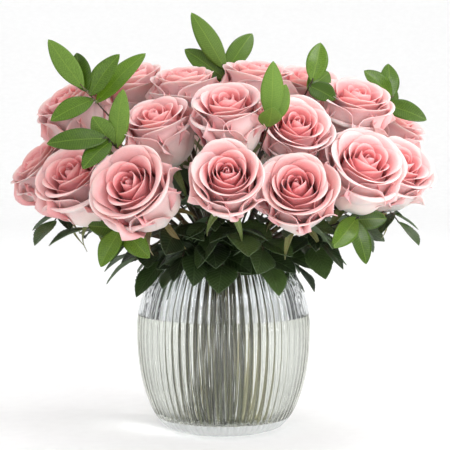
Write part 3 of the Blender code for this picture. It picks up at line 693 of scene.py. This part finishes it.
def leaf_sheet(shells, line, across, half_width, outline, bow, thickness, tone, dice, finish):
    """A leaf's blade along the line: its half width follows the outline, and its sides lift by the bow."""
    rows = len(line)
    share = np.linspace(0, 1, rows)[:, None]
    side = np.linspace(-1, 1, BLADE_COLUMNS)[None, :]
    ways = np.gradient(line, axis=0)
    ways /= np.linalg.norm(ways, axis=1, keepdims=True)
    across = across - ways * (across * ways).sum(axis=1, keepdims=True)
    across /= np.linalg.norm(across, axis=1, keepdims=True)
    upright = np.cross(ways, across)
    half = half_width * outline[:, None]
    lift = bow * half * np.abs(side) ** BOW_POWER
    wave = BLADE_WAVE * half_width * np.sin(BLADE_WAVES * share + dice.uniform(*ANY_TURN))
    lift += wave * side * np.sin(np.pi * share)
    grid = line[:, None] + across[:, None] * (side * half)[:, :, None] + upright[:, None] * lift[:, :, None]
    run = share * np.linalg.norm(np.diff(line, axis=0), axis=1).sum() / MM
    shells.sheet(grid, thickness, (share, side * half / MM, np.abs(side), tone, run), finish)


def blade_line(tip, stations, steps):
    """A frame blade's midline from its root to its tip, the ways to its left side, and its half width."""
    centres = [centre for centre, _ in stations]
    root = centres[2] + (centres[2] - centres[1]) * ROOT_STEP
    line = smooth_line([root, centres[2], centres[1], centres[0], tip], steps)
    across = [side for _, side in stations]
    across = [side * np.sign(side @ across[1]) for side in across]
    share = np.linspace(0, 1, steps)
    ways = np.stack([np.interp(share, RING_SHARES, [across[2][axis], across[1][axis], across[0][axis]])
                     for axis in range(3)], axis=1)
    return line, ways, float(np.linalg.norm(across[1]))


def toothed_blade(shells, blade, across, half_width, look, dice):
    """A rose leaflet: a blade with saw teeth along its margin, its upper face up."""
    middle = len(blade) // 2 - 1
    if np.cross(np.gradient(blade, axis=0)[middle], across[middle])[2] < 0:
        across = -across
    share = np.linspace(0, 1, len(blade))
    teeth = 1 + look.teeth * (1 - np.mod(share * TEETH, 1)) * np.sin(np.pi * share) ** 0.3
    outline = np.sin(np.pi * share ** 0.80) ** 0.80 * teeth
    outline[0], outline[-1] = 0.06, 0.02
    leaf_sheet(shells, blade, across, half_width, outline, LEAFLET_BOW, look.leaf_thickness,
               dice.uniform(-1, 1), dice, 1)


def compound_leaf(shells, base, way, length, look, dice):
    """A rose leaf of five toothed leaflets on a drooping stalk."""
    aside = unit(np.cross(UP, way))
    reaches = np.linspace(0, 1, 5)[:, None]
    droop = reaches ** 2 * 0.22 * length
    stalk = base + np.linspace(0, STALK_SHARE, 5)[:, None] * length * way - droop * UP
    stalk = smooth_line(stalk, STALK_STEPS)
    shells.tube(stalk, np.linspace(0.9, 0.5, STALK_STEPS) * MM, 8, (0.0, 0.0, 0.0, 0.0))
    for place, turn, share in LEAFLETS:
        out = unit(way * math.cos(turn) + aside * math.sin(turn) - 0.35 * UP)
        reach = share * length * dice.uniform(0.9, 1.1)
        sag = reaches ** 2 * 0.2 * reach
        blade = smooth_line(stalk[place] + reaches * reach * out - sag * UP, LEAFLET_STEPS)
        across = unit(np.cross(UP, out)) + dice.uniform(-0.4, 0.4) * UP
        across = np.broadcast_to(across, blade.shape)
        toothed_blade(shells, blade, across, LEAFLET_HALF_WIDTH * reach, look, dice)


def grow_hip(shells, centres, radius, hip, facing, tone, dice):
    """A rose's stem through the centres, swelling to its hip; gives its midline."""
    ends = [hip + rise * MM * facing for rise in (-9, -1, 2)]
    line = smooth_line(np.vstack([centres, ends]), STEM_STEPS)
    left = np.linalg.norm(line[-1] - line, axis=1)
    under, widths = (np.array(column) * MM for column in HIP_OUTLINE)
    radii = np.interp(left, (*under, BARE_FROM), (*widths, BARE_SHARE * radius))
    radii *= 1 + 0.05 * np.sin(np.linspace(0, 23, STEM_STEPS) + dice.uniform(*ANY_TURN))
    shells.tube(line, radii, 12, (0.0, 0.0, tone, 0.0))
    return line


def grow_sepals(shells, hip, facing, tone, dice):
    """Five sepals round the hip, each bent back by its own amount."""
    turn = np.array(Vector(facing).to_track_quat("Z", "Y").to_matrix())
    first_turn = dice.uniform(*ANY_TURN)
    for number in range(5):
        spin = first_turn + number * FULL_TURN / 5
        out = turn @ np.array((np.cos(spin), np.sin(spin), 0.0))
        droop = dice.uniform(0.6, 1.2)
        # Millimetres out from the axis and up along it
        curve = ((3, 1), (10, 1.0), (18, -2 - 3 * droop), (24, -8 - 7 * droop), (26, -16 - 11 * droop))
        sepal = [hip + out * reach * MM + facing * rise * MM for reach, rise in curve]
        sepal = smooth_line(sepal, SEPAL_STEPS)
        outline = np.interp(np.linspace(0, 1, SEPAL_STEPS), *SEPAL_OUTLINE)
        across = np.broadcast_to(np.cross(facing, out), sepal.shape)
        leaf_sheet(shells, sepal, across, SEPAL_HALF_WIDTH, outline, SEPAL_BOW, SEPAL_THICKNESS,
                   tone, dice, 2)


def grow_outer_leaves(shells, blades, stem, tone, look, dice):
    """The frame's leaflets: a leaf's two side ones meet at a knee, where its stalk bends to the end one."""
    roots = [blade_line(*blade, 9)[0][0] for blade in blades]
    knees, ends = [], []
    for number, root in enumerate(roots):
        beside = [other for other in range(len(roots)) if other != number
                  and np.linalg.norm(roots[other] - root) < PAIR_APART]
        if not beside:
            ends.append(number)
        elif number < beside[0]:
            knees.append(0.5 * (root + roots[beside[0]]))
    for root in (roots[number] for number in ends):
        knee = nearest_point(np.array(knees), root)
        base = nearest_point(stem, knee + (knee - root) * 1.4)
        stalk = smooth_line([base, knee, root, root + 0.2 * (root - knee)], 12)
        shells.tube(stalk, np.linspace(1.0, 0.55, 12) * MM, 8, (0.0, 0.0, tone, 0.0))
    for number, (tip, stations) in enumerate(blades):
        blade, across, half_width = blade_line(tip, stations, LEAFLET_STEPS)
        if number not in ends:
            knee = nearest_point(np.array(knees), roots[number])
            shells.tube(np.linspace(knee, blade[1], 5), np.full(5, 0.55 * MM), 6, (0.0, 0.0, tone, 0.0))
        upright = np.cross(unit(blade[-1] - blade[0]), across)
        across = across + math.tan(dice.uniform(-0.75, 0.75)) * upright
        toothed_blade(shells, blade, across, dice.uniform(0.85, 1.15) * half_width, look, dice)


def grow_rose_greens(node, look, materials, dice):
    """A rose's stem with its hip and sepals, its leaves on the frame's, and leaves deep in the bouquet."""
    points, links = welded(node)
    blades, rest = blades_of(points, links)
    centres, radius = level_rings(rest)
    hip, facing, _ = bloom_frame(node.replace("stem", "bloom"))
    centres = centres[np.linalg.norm(centres - hip, axis=1) > HIP_LENGTH]
    shells = Shells("along", "off", "edge", "tone", "run")
    tone = dice.uniform(-1, 1)
    stem = grow_hip(shells, centres, radius, hip, facing, tone, dice)
    grow_sepals(shells, hip, facing, tone, dice)
    grow_outer_leaves(shells, blades, stem, tone, look, dice)
    for _ in range(look.inner_leaves):
        base = stem[np.argmin(np.abs(stem[:, 2] - dice.uniform(*INNER_LEAF_HEIGHTS)))]
        azimuth = math.atan2(base[1], base[0]) + dice.uniform(-1.3, 1.3)
        rise = dice.uniform(-0.5, 0.35)
        way = unit(np.array((math.cos(azimuth), math.sin(azimuth), rise)))
        compound_leaf(shells, base, way, dice.uniform(*INNER_LEAF_LENGTHS) * MM, look, dice)
    return shells.build(node.replace("stem", "greens"), materials, "rose_stems", node)


def grow_sprig(node, look, materials, dice):
    """A sprig's thin stem and its pointed glossy leaves."""
    points, links = welded(node)
    blades, rest = blades_of(points, links)
    centres, radius = level_rings(rest)
    top = rest[np.argmax(rest[:, 2])]
    centres = centres[centres[:, 2] < top[2] - 2 * MM]
    line = smooth_line(np.vstack([centres, top]), SPRIG_STEPS)
    shells = Shells("along", "off", "edge", "tone", "run")
    tone = dice.uniform(-1, 1)
    shells.tube(line, radius * np.linspace(1.0, 0.42, SPRIG_STEPS), 10, (0.0, 0.0, tone, 0.0))
    middle = SPRIG_LEAF_STEPS // 2
    outline = np.sin(np.pi * np.linspace(0, 1, SPRIG_LEAF_STEPS) ** 0.92) ** 0.72
    outline[0], outline[-1] = 0.07, 0.015
    for tip, stations in blades:
        blade, across, half_width = blade_line(tip, stations, SPRIG_LEAF_STEPS)
        # The upper face looks up, and in towards the stem
        inner = nearest_point(line, blade[0]) - blade[middle]
        if np.cross(np.gradient(blade, axis=0)[middle], across[middle]) @ (inner + 0.02 * UP) < 0:
            across = -across
        base = nearest_point(line, blade[0] - 3 * MM * unit(blade[1] - blade[0]))
        shells.tube(smooth_line([base, 0.5 * (base + blade[0]), blade[0], blade[2]], 7),
                    np.linspace(0.9, 0.5, 7) * MM, 8, (0.0, 0.0, tone, 0.0))
        leaf_sheet(shells, blade, across, SPRIG_LEAF_SHARE * half_width, outline, SPRIG_BOW,
                   look.leaf_thickness, dice.uniform(-1, 1), dice, 1)
    return shells.build(node.replace("sprig", "branch"), materials, "greenery", node)


# ---- Settings ----

def colour_property(name, description, code):
    """A colour setting whose default is an sRGB hex code."""
    return bpy.props.FloatVectorProperty(name=name, description=description, subtype="COLOR", size=4,
                                         min=0.0, max=1.0, default=shade(code))


def length_property(name, description, default):
    """A length setting in metres."""
    return bpy.props.FloatProperty(name=name, description=description, default=default, min=0.0,
                                   precision=5, subtype="DISTANCE", unit="LENGTH")


def share_property(name, description, default, most):
    """A setting that is a share of something."""
    return bpy.props.FloatProperty(name=name, description=description, default=default, min=0.0, max=most,
                                   subtype="FACTOR")


class BouquetStageSettings(bpy.types.PropertyGroup):
    """The floor, the lights and the camera."""

    floor: colour_property("Floor", "Colour of the floor", "#FAFAFA")
    key_power: bpy.props.FloatProperty(name="Key light", description="Power of the main light",
                                       default=16.0, min=0.0, subtype="POWER", unit="POWER")
    camera_distance: length_property("Camera distance", "Distance from the camera to its target", 1.6)
    camera_height: bpy.props.FloatProperty(name="Camera elevation", description="Angle over the horizon",
                                           default=math.radians(4.5), subtype="ANGLE", unit="ROTATION")


class BouquetVaseSettings(bpy.types.PropertyGroup):
    """The ribbed vase and its water."""

    rib_depth: share_property("Rib depth", "Depth of the ribs as a share of the frame's", 1.5, 2.0)
    ribs: bpy.props.IntProperty(name="Ribs", description="Ribs round the vase", default=64, min=0)
    glass: colour_property("Glass", "Colour of the glass", "#F7FAFB")
    heel_clearness: share_property("Heel clearness", "How clear the ground heel is", 0.45, 1.0)
    water: colour_property("Water", "Colour of the water", "#FAF8EE")
    water_overlap: length_property("Water overlap", "How far the water reaches into the glass", 0.15 * MM)


class BouquetBloomSettings(bpy.types.PropertyGroup):
    """The roses' petals."""

    petals: bpy.props.IntProperty(name="Petals", description="Petals in each rose",
                                  default=27, min=8, max=60)
    petal_thickness: length_property("Petal thickness", "Thickness at the middle of a petal", 0.42 * MM)
    # A petal's deep foot is partly painted shade in the crevice there
    heart: colour_property("Heart", "Colour of a petal's face at its foot", "#C23A54")
    face: colour_property("Face", "Colour of a petal's face", "#F2A6AC")
    back: colour_property("Back", "Colour of a petal's back", "#F8D3D0")
    # A petal's light lip is partly a painted highlight where the rim catches light
    lip: colour_property("Lip", "Colour of a petal's lip", "#FCE6E2")


class BouquetGreenSettings(bpy.types.PropertyGroup):
    """The stems and the leaves."""

    leaf_thickness: length_property("Leaf thickness", "Thickness of a leaf", 0.45 * MM)
    inner_leaves: bpy.props.IntProperty(name="Inner leaves", default=1, min=0,
                                        description="Leaves on each stem deep in the bouquet")
    teeth: share_property("Teeth", "Depth of a rose leaflet's teeth as a share of its half width", 0.12, 0.5)
    stem: colour_property("Stem", "Colour of a rose stem", "#4C6128")
    flush: colour_property("Flush", "Colour that a rose stem turns towards its bloom", "#5A3129")


# ---- Stage ----

# The paper sweep: its profile as rows of height and radius, flat, then round a quarter turn, then upright
SWEEP_FLAT = ((0.0, 0.4), (0.0, 1.2), (0.0, 2.4))
SWEEP_BEND = 1.0
SWEEP_TOP = (3.4, 3.4)
# The sweep lies this far under the vase's foot, so that the two faces don't fight
SWEEP_DROP = 0.0003
# Each light's place, its width and height in metres, and its share of the key light's power
LIGHTS = (
    ("key_light", (1.40, -1.00, 1.35), (0.6, 0.6), 1.05),
    ("top_light", (0.3, 0.5, 2.0), (1.2, 1.2), 0.5),
    ("left_strip", (-1.0, -1.05, 0.55), (0.07, 1.0), 0.12),
    ("right_strip", (0.75, -1.35, 0.55), (0.07, 1.0), 0.26),
)
LIGHTS_AIM = Vector((0, 0, 0.2))
# Flags give the glass dark edges: each one's azimuth round the vase from the front in degrees, its distance
# and its width in metres
FLAGS = (
    ("flag_left", -62, 0.80, 0.16),
    ("flag_far_left", -108, 0.80, 0.30),
    ("flag_right", 66, 0.80, 0.20),
    ("flag_far_right", 112, 0.80, 0.30),
    ("flag_back_left", 218, 1.3, 0.16),
    ("flag_back_right", 139, 1.3, 0.16),
)
FLAG_HEIGHT = 0.6
FLAG_THICKNESS = 0.01
CAMERA_TARGET = Vector((0.00135, 0.0, 0.1845))
CAMERA_LENS, CAMERA_SENSOR = 142.2, 36.0


def paper_material(look):
    """Seamless paper, matt, with a fibre 2 mm long that only breaks its evenness."""
    made = new_material("matt_paper_sweep")
    fibre = add(made, NOISE, {}, {"Scale": 500.0, "Detail": 2.0})
    colour = add(made, RAMP, {"stops": ((0.3, tuple(look.floor)), (0.7, "#F7F7F7"))}, {0: fibre})
    skin = add(made, SHADER, {}, {"Base Color": colour, "Roughness": 0.9})
    add(made, END, {}, {"Surface": skin})
    return made


def felt_material():
    """Black wool felt, which takes nearly all light, with a nap that shows as dark grey flecks."""
    made = new_material("black_felt_flag")
    nap = add(made, NOISE, {}, {"Scale": 700.0})
    felt = add(made, RAMP, {"stops": ((0.3, "#0A0A0A"), (0.7, "#1C1C1C"))}, {0: nap})
    add(made, END, {}, {"Surface": add(made, SHADER, {}, {"Base Color": felt, "Roughness": 0.95})})
    return made


def lay_sweep(material):
    """The floor: a round sheet of paper whose edge bends up into the backdrop, open at the top."""
    bend = np.radians(np.linspace(0, 90, 12))[1:]
    inner = SWEEP_FLAT[-1][1]
    rows = [*SWEEP_FLAT, *((SWEEP_BEND - np.cos(turn), inner + np.sin(turn)) for turn in bend), SWEEP_TOP]
    rows = np.array([(height - SWEEP_DROP, radius, 0.0) for height, radius in rows])
    sweep = turned("paper_sweep", rows, 96)
    shape = bmesh.new()
    shape.from_mesh(sweep)
    lid = max(shape.verts, key=lambda corner: corner.co.z - corner.co.xy.length)
    bmesh.ops.delete(shape, geom=[lid], context="VERTS")
    bmesh.ops.reverse_faces(shape, faces=shape.faces)
    shape.to_mesh(sweep)
    shape.free()
    sweep.materials.append(material)
    floor = show("paper_sweep", sweep)


def stand_flag(name, azimuth, distance, width, material):
    """A dark card that faces the vase, seen only in the glass."""
    way = np.array((math.sin(math.radians(azimuth)), -math.cos(math.radians(azimuth)), 0.0))
    beside = np.cross(UP, way)
    middle = way * distance + UP * (0.5 * FLAG_HEIGHT)
    corners = [middle + beside * across * width + UP * (rise * FLAG_HEIGHT) + way * depth
               for depth in (0, FLAG_THICKNESS)
               for across, rise in ((-0.5, -0.5), (0.5, -0.5), (0.5, 0.5), (-0.5, 0.5))]
    flag = bpy.data.meshes.new(name)
    flag.from_pydata([tuple(corner) for corner in corners], [], [
        (0, 1, 2, 3), (7, 6, 5, 4), (0, 4, 5, 1), (1, 5, 6, 2), (2, 6, 7, 3), (3, 7, 4, 0)])
    flag.materials.append(material)
    card = show(name, flag)
    card.visible_camera = card.visible_shadow = card.visible_diffuse = False


def hang_light(name, place, width, height, power):
    """A soft box or strip light that faces the bouquet."""
    data = bpy.data.lights.new(name, "AREA")
    data.shape, data.size, data.size_y = "RECTANGLE", width, height
    data.energy = power
    light = show(name, data)
    light.location = place
    light.rotation_euler = (LIGHTS_AIM - Vector(place)).to_track_quat("-Z", "Y").to_euler()
    light.visible_camera = False


def set_camera(look):
    """The camera before the bouquet, a little over it."""
    data = bpy.data.cameras.new("camera")
    data.sensor_width, data.lens = CAMERA_SENSOR, CAMERA_LENS
    camera = show("camera", data)
    back = Vector((0.0, -math.cos(look.camera_height), math.sin(look.camera_height)))
    camera.location = CAMERA_TARGET + back * look.camera_distance
    camera.rotation_euler = (-back).to_track_quat("-Z", "Y").to_euler()
    bpy.context.scene.camera = camera


# ---- Operators ----

class BOUQUET_OT_stage(bpy.types.Operator):
    """Set the pale floor, the soft lights and the camera"""

    bl_idname = "bouquet.stage"
    bl_label = "Set the stage"

    def execute(self, context):
        look = context.scene.bouquet_stage
        lay_sweep(paper_material(look))
        felt = felt_material()
        for name, azimuth, distance, width in FLAGS:
            stand_flag(name, azimuth, distance, width, felt)
        for name, place, (width, height), share in LIGHTS:
            hang_light(name, place, width, height, share * look.key_power)
        world = bpy.data.worlds.new("white_room")
        world.use_nodes = True
        world.node_tree.nodes["Background"].inputs["Color"].default_value = shade("#FFFFFF")
        world.node_tree.nodes["Background"].inputs["Strength"].default_value = 1.0
        context.scene.world = world
        set_camera(look)
        context.scene.view_settings.view_transform = "Standard"
        return {"FINISHED"}


# Under the vase's foot, from the middle out: the height, and how far inside the foot's edge the ring lies
FOOT_RISE = 0.8 * MM
FOOT_RINGS = (9 * MM, 4 * MM)
# The middle of the cavity's floor is flat out to this share of its corner's radius
FLOOR_SHARE = 0.6
# How far the water climbs up the glass, and how far from it, in millimetres
MENISCUS = ((0.5, 0.0), (0.4, 0.2), (0.2, 0.6), (0.05, 1.6), (0.0, 4.0), (0.0, 20.0), (0.0, 38.0))


class BOUQUET_OT_vase(bpy.types.Operator):
    """Turn the ribbed glass vase"""

    bl_idname = "bouquet.vase"
    bl_label = "Turn the vase"

    def execute(self, context):
        look = context.scene.bouquet_vase
        outside, cavity = vase_profile()
        rim, _, top = outside[-1]
        lip = 0.5 * (rim - cavity[-1, 0])
        outline = smooth_line(outside, 110)
        foot = outline[0, 0]
        rows = [(0.9 * MM, 6 * MM, 0), (FOOT_RISE, foot - FOOT_RINGS[0], 0), (0.0, foot - FOOT_RINGS[1], 0)]
        rows += [(height, radius, look.rib_depth * depth) for radius, depth, height in outline
                 if height < top - lip]
        rows += [(top - lip * (1 - math.sin(turn)), rim - lip * (1 - math.cos(turn)), 0)
                 for turn in np.radians(np.linspace(0, 180, 13))]
        inside = smooth_line(cavity[::-1], 46)
        rows += [(height, radius, 0) for radius, _, height in inside if height < top - lip]
        rows += [(inside[-1, 2], FLOOR_SHARE * inside[-1, 0], 0)]
        mesh = turned("vase", np.array(rows), 8 * look.ribs, look.ribs)
        for face in mesh.polygons:
            face.material_index = int(face.center.z < HEEL_HEIGHT)
        materials = [glass_material("pressed_soda_lime_glass", look, 1.0),
                     glass_material("ground_glass_heel", look, look.heel_clearness)]
        vase = piece("ribbed_vase", mesh, materials, "ribbed_glass", "vase")
        vase.visible_shadow = False
        return {"FINISHED"}


class BOUQUET_OT_water(bpy.types.Operator):
    """Fill the vase with water up to its waterline"""

    bl_idname = "bouquet.water"
    bl_label = "Fill the water"

    def execute(self, context):
        look = context.scene.bouquet_vase
        _, cavity = vase_profile()
        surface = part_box("water")[1].z
        inside = smooth_line(cavity, 60)
        overlap = look.water_overlap
        edge = float(np.interp(surface, inside[:, 2], inside[:, 0])) + overlap
        rows = [(inside[0, 2] - overlap, FLOOR_SHARE * inside[0, 0], 0)]
        rows += [(height - (overlap if number == 0 else 0), radius + overlap, 0)
                 for number, (radius, _, height) in enumerate(inside) if height < surface]
        rows += [(surface + climb * MM, edge - back * MM, 0) for climb, back in MENISCUS]
        mesh = turned("water", np.array(rows), 128)
        water = piece("vase_water", mesh, [water_material(look)], "water", "water")
        water.visible_shadow = False
        return {"FINISHED"}


class BOUQUET_OT_blooms(bpy.types.Operator):
    """Grow the petals of every rose"""

    bl_idname = "bouquet.blooms"
    bl_label = "Grow the roses"

    def execute(self, context):
        look = context.scene.bouquet_blooms
        material = petal_material(look)
        for number, node in enumerate(ROSES):
            grow_bloom(node, look, material, np.random.default_rng(100 + number))
        return {"FINISHED"}


class BOUQUET_OT_rose_greens(bpy.types.Operator):
    """Grow the rose stems with their sepals and leaves"""

    bl_idname = "bouquet.rose_greens"
    bl_label = "Grow the rose stems"

    def execute(self, context):
        look = context.scene.bouquet_greens
        sepal = leaf_material("rose_sepal", ("#4E6432", "#66763F", "#7A5A3C"), ("#8A9468", "#A39A78"),
                              "#8C9660", spacing=3.0, lean=0.3, shine=0.42, relief_depth=0.1 * MM)
        leaf = leaf_material("rose_leaf", ("#141E0E", "#26361A", "#4A6230"), ("#465840", "#66775A"),
                             "#566A44", spacing=4.0, lean=1.1, shine=0.30, relief_depth=0.22 * MM)
        materials = [stem_material(look), leaf, sepal]
        for number, node in enumerate(ROSES):
            stem = node.replace("bloom", "stem")
            grow_rose_greens(stem, look, materials, np.random.default_rng(200 + number))
        return {"FINISHED"}


class BOUQUET_OT_sprigs(bpy.types.Operator):
    """Grow the sprigs of glossy greenery"""

    bl_idname = "bouquet.sprigs"
    bl_label = "Grow the greenery"

    def execute(self, context):
        look = context.scene.bouquet_greens
        leaf = leaf_material("broadleaf_evergreen", ("#2B4406", "#3F5C0B", "#5E801A"), ("#4C681E", "#688832"),
                             "#86A23C", spacing=2.0, lean=0.35, shine=0.26, relief_depth=0.08 * MM)
        materials = [stem_material(look), leaf]
        for number, node in enumerate(SPRIGS):
            grow_sprig(node, look, materials, np.random.default_rng(300 + number))
        return {"FINISHED"}


class BOUQUET_PT_pieces(bpy.types.Panel):
    """The bouquet's operators and settings"""

    bl_label = "Roses in a vase"
    bl_idname = "BOUQUET_PT_pieces"
    bl_space_type = "VIEW_3D"
    bl_region_type = "UI"
    bl_category = "Bouquet"

    def draw(self, context):
        for operator in OPERATORS:
            self.layout.operator(operator.bl_idname)
        for group in (getattr(context.scene, name) for name in GROUPS):
            box = self.layout.box()
            for name in group.bl_rna.properties.keys():
                if name not in ("rna_type", "name"):
                    box.prop(group, name)


OPERATORS = (BOUQUET_OT_stage, BOUQUET_OT_vase, BOUQUET_OT_water, BOUQUET_OT_blooms, BOUQUET_OT_rose_greens,
             BOUQUET_OT_sprigs)
GROUPS = {"bouquet_stage": BouquetStageSettings, "bouquet_vase": BouquetVaseSettings,
          "bouquet_blooms": BouquetBloomSettings, "bouquet_greens": BouquetGreenSettings}


def register():
    """Adds the settings, the operators and the panel to Blender."""
    for group in (*GROUPS.values(), *OPERATORS, BOUQUET_PT_pieces):
        bpy.utils.register_class(group)
    for name, group in GROUPS.items():
        setattr(bpy.types.Scene, name, bpy.props.PointerProperty(type=group))


def unregister():
    """Takes them out again."""
    for name in GROUPS:
        delattr(bpy.types.Scene, name)
    for group in (BOUQUET_PT_pieces, *reversed(OPERATORS), *reversed(GROUPS.values())):
        bpy.utils.unregister_class(group)


def main():
    register()
    bpy.ops.bouquet.stage()
    bpy.ops.bouquet.vase()
    bpy.ops.bouquet.water()
    bpy.ops.bouquet.blooms()
    bpy.ops.bouquet.rose_greens()
    bpy.ops.bouquet.sprigs()


if __name__ == "__main__":
    main()
